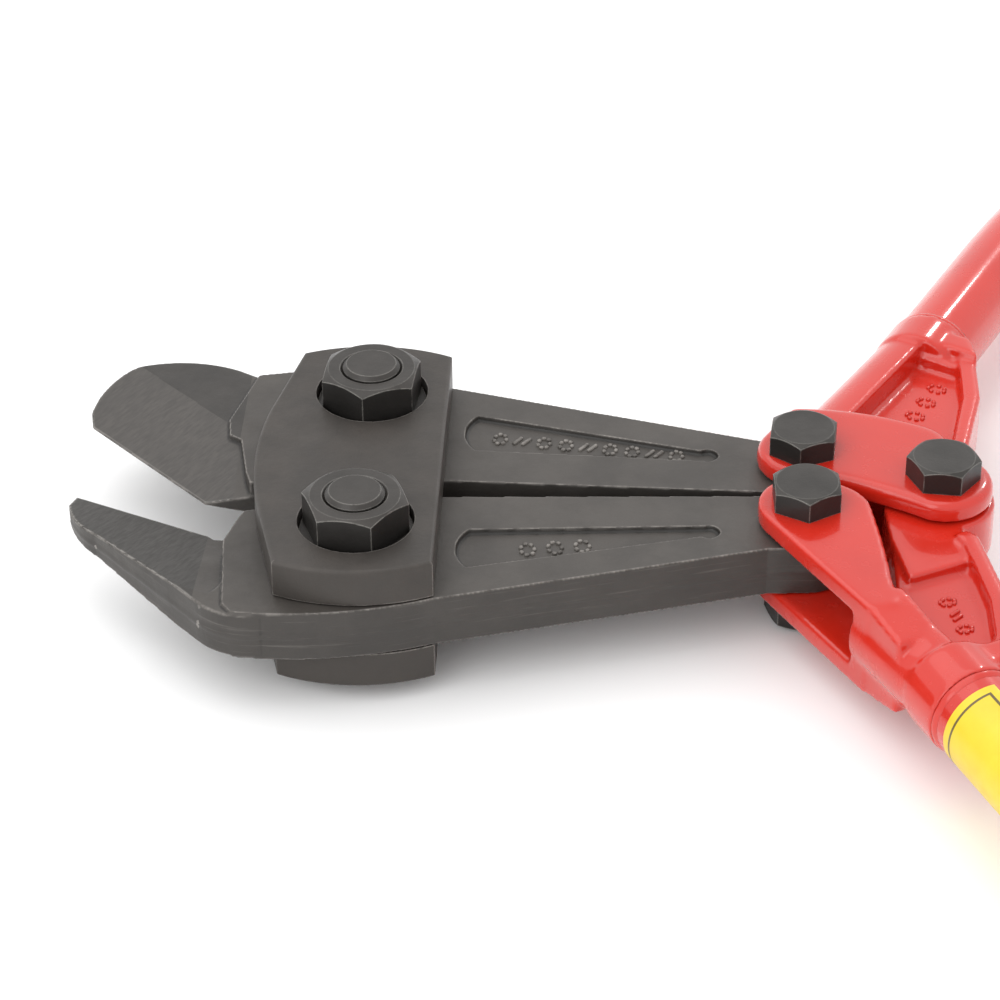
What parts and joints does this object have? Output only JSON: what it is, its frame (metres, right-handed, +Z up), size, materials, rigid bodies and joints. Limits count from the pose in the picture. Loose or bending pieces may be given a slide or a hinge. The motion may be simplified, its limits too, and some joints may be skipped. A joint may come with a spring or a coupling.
{
  "type": "bolt cutters",
  "caption": "Long-handled compound-lever bolt cutters standing open: forged jaws pivot between two side plates, and hinged red handles drive the jaw tails.",
  "frame": {"origin": "on the underside of the lower side plate, midway between the two jaw pivots", "axes": "+X from the cutting edges towards the handles along the line of symmetry, +Y towards the far handle, +Z up through the thickness of the tool, along every pivot axis"},
  "size_m": [0.4613, 0.7166, 0.039],
  "materials": {
    "black_oxide_jaw": "black oxide on a drop-forged, lightly ground surface, satin",
    "black_oxide_steel": "black oxide on rolled plate, satin",
    "black_hardware": "black oxide on machined hexagons, satin",
    "red_enamel": "thick glossy red enamel over a forging",
    "grip_rubber": "matt moulded black rubber",
    "label_film": "satin printed film"
  },
  "bodies": {
    "side_plates": {"upper_side_plate": "black_oxide_steel", "lower_side_plate": "black_oxide_steel", "far_pivot_bolt": "black_hardware", "near_pivot_bolt": "black_hardware", "far_pivot_nut": "black_hardware", "near_pivot_nut": "black_hardware", "far_pivot_washer": "black_hardware", "near_pivot_washer": "black_hardware"},
    "far_jaw": {"far_jaw": "black_oxide_jaw"},
    "near_jaw": {"near_jaw": "black_oxide_jaw"},
    "far_handle": {"far_handle_fork": "red_enamel", "far_handle_tube": "red_enamel", "far_grip": "grip_rubber", "far_socket_rivet": "red_enamel", "far_tail_bolt": "black_hardware", "far_tail_nut": "black_hardware", "centre_bolt": "black_hardware", "centre_nut": "black_hardware"},
    "near_handle": {"near_handle_fork": "red_enamel", "near_handle_tube": "red_enamel", "near_grip": "grip_rubber", "near_socket_rivet": "red_enamel", "near_tail_bolt": "black_hardware", "near_tail_nut": "black_hardware", "near_label_band": "label_film"}
  },
  "joints": [
    {"name": "far_jaw_pivot", "type": "hinge", "parent": "side_plates", "child": "far_jaw", "pos_m": [0, 0.0235, 0.014], "axis": [0, 0, 1], "range_deg": [0, 10.5]},
    {"name": "near_jaw_pivot", "type": "hinge", "parent": "side_plates", "child": "near_jaw", "pos_m": [0, -0.0235, 0.014], "axis": [0, 0, 1], "range_deg": [-10.5, 0]},
    {"name": "far_tail_pivot", "type": "hinge", "parent": "far_jaw", "child": "far_handle", "pos_m": [0.0899, 0.00994, 0.014], "axis": [0, 0, 1], "range_deg": [-51.45, 0]},
    {"name": "near_tail_pivot", "type": "hinge", "parent": "near_jaw", "child": "near_handle", "pos_m": [0.0899, -0.00994, 0.014], "axis": [0, 0, 1], "range_deg": [0, 51.45]}
  ],
  "couplings": [
    {"joint": "near_jaw_pivot", "follows": "far_jaw_pivot", "ratio": -1},
    {"joint": "far_tail_pivot", "follows": "far_jaw_pivot", "ratio": -4.9},
    {"joint": "near_tail_pivot", "follows": "far_jaw_pivot", "ratio": 4.9}
  ]
}
